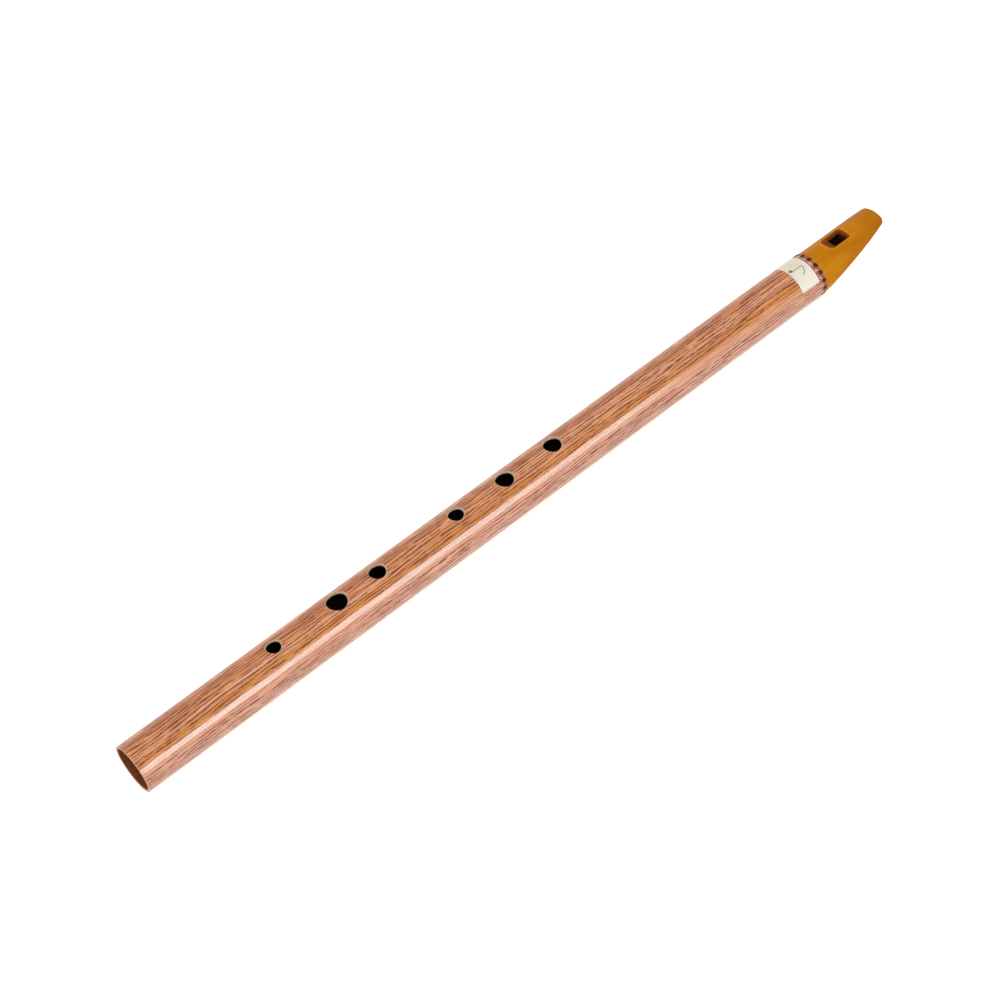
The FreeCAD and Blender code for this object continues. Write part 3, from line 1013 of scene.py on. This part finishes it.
def inside_head(point, depth, head_end):
    """The part of the head a face belongs to: skin, carved edge with a painted highlight, carved
    wood, or air chamber in painted shade.
    """
    at_tip = point.x > head_end - TIP_LENGTH and abs(point.y) > WINDWAY_REACH
    over_windway = point.x > head_end - TIP_ROUNDING and point.z > WINDWAY_TOP
    on_end_face = point.x > head_end - TIP_FACE_DEPTH
    if depth < EDGE_DEPTH or at_tip or over_windway or on_end_face:
        return SKIN
    # Faces just inside a cut's rim take the carved wood with a painted highlight.
    if depth < CUT_DEPTH:
        return CARVED_EDGE_HIGHLIGHT
    if point.z < CHAMBER_ROOF and math.hypot(point.y, point.z) < CHAMBER_RADIUS:
        return SHADED_CHAMBER
    return CARVED


def softened_head(skin):
    """A copy of the head with an even mesh and softened corners, its skin put back in place."""
    source = frame["nodes"]["head_shell"]
    head = bpy.data.objects.new("fipple_head", source.data.copy())
    bpy.context.collection.objects.link(head)
    head.data.materials.clear()
    remesh = head.modifiers.new("remesh", "REMESH")
    remesh.mode = "VOXEL"
    remesh.voxel_size = HEAD_VOXEL
    smooth = head.modifiers.new("smooth", "SMOOTH")
    smooth.factor = HEAD_SMOOTHING
    smooth.iterations = HEAD_SMOOTH_PASSES
    apply_modifiers(head)
    for vert in head.data.vertices:
        vert.co = skin.snapped(vert.co)
    decimate = head.modifiers.new("decimate", "DECIMATE")
    decimate.ratio = HEAD_KEPT_FACES
    apply_modifiers(head)
    return head


def make_head():
    """The turned head, lacquered outside and bare wood inside."""
    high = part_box("head_shell")[1]
    radius = high.y
    skin = HeadSkin(radius, high.x)
    head = softened_head(skin)
    for material in (
        head_wood_material(),
        # Carved wood with a painted highlight at the rims of the cuts
        carved_wood_material("carved_edge_highlight", *EDGE_WOOD_AND_HIGHLIGHT, radius),
        carved_wood_material("carved_wood", *CARVED_WOOD, radius),
        # Painted shade: the air chamber's wood is painted dark
        carved_wood_material("chamber_painted_shade", *CHAMBER_SHADE, radius, specular=0.05),
    ):
        head.data.materials.append(material)
    for face in head.data.polygons:
        depth = min(skin.depths(face.center))
        face.material_index = inside_head(face.center, depth, high.x)
    head.data.shade_smooth()
    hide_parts("head_shell")
    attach(head, "head")


def dress_cad_nodes():
    """Materials for the CAD nodes that are shown as they are: the block and the seal rings."""
    block = speckled_material(
        "block_wood", BLOCK_WOOD, roughness=0.6, specular=0.2, scale=2.5, amount=0.7)
    rubber = rubber_material()
    for name, material in (
        ("fipple_block", block), ("seal_ring_inner", rubber), ("seal_ring_outer", rubber)
    ):
        node = frame["nodes"][name]
        node.data.materials.clear()
        node.data.materials.append(material)


# ---------------------------------------------------------------- studio


def make_floor():
    """A faintly glowing white floor under the whistle, unseen by its reflections."""
    mesh = bmesh.new()
    bmesh.ops.create_grid(
        mesh, x_segments=FLOOR_CELLS, y_segments=FLOOR_CELLS, size=FLOOR_REACH)
    bmesh.ops.translate(mesh, verts=mesh.verts, vec=(cad_high.x / 2, 0, cad_low.z))
    surface = Surface("floor_white", roughness=0.9, specular=0.0)
    surface.put(surface.shader.inputs["Emission Color"], WHITE)
    surface.put(surface.shader.inputs["Emission Strength"], FLOOR_GLOW)
    floor = as_piece(mesh, "floor", [surface.finish(FLOOR_WHITE)])
    floor.visible_diffuse = False
    floor.visible_glossy = False


def make_world():
    world = bpy.data.worlds.new("studio")
    world.use_nodes = True
    background = world.node_tree.nodes["Background"]
    background.inputs["Color"].default_value = WHITE
    background.inputs["Strength"].default_value = WORLD_STRENGTH
    bpy.context.scene.world = world


def make_softbox():
    """A long soft light beside the tube, seen only in its gloss."""
    data = bpy.data.lights.new("side_softbox", "AREA")
    data.shape = "RECTANGLE"
    data.size = SOFTBOX_LENGTH
    data.size_y = 2 * SOFTBOX_DISTANCE * math.tan(SOFTBOX_HALF_ANGLE)
    data.energy = SOFTBOX_RADIANCE * math.pi * data.size * data.size_y
    data.color = SOFTBOX_COLOUR
    light = bpy.data.objects.new("side_softbox", data)
    bpy.context.collection.objects.link(light)
    light.location = round_tube(SOFTBOX_X, SOFTBOX_ANGLE, SOFTBOX_DISTANCE)
    middle = Vector((SOFTBOX_X, 0, 0))
    light.rotation_euler = (middle - light.location).to_track_quat("-Z", "Y").to_euler()
    light.visible_diffuse = False


def make_camera():
    data = bpy.data.cameras.new("camera")
    data.lens = CAMERA_LENS
    data.sensor_width = CAMERA_SENSOR
    data.clip_end = CAMERA_FAR
    camera = bpy.data.objects.new("camera", data)
    bpy.context.collection.objects.link(camera)
    aim = (CAMERA_TARGET - CAMERA_PLACE).to_track_quat("-Z", "Y").to_matrix()
    roll = Matrix.Rotation(CAMERA_ROLL, 3, "Z")
    camera.matrix_world = Matrix.Translation(CAMERA_PLACE) @ (aim @ roll).to_4x4()
    bpy.context.scene.camera = camera


bpy.context.scene.view_settings.view_transform = "Standard"
make_camera()
make_world()
make_softbox()
make_floor()
film_radius = make_tube()
make_label(film_radius)
make_head()
dress_cad_nodes()
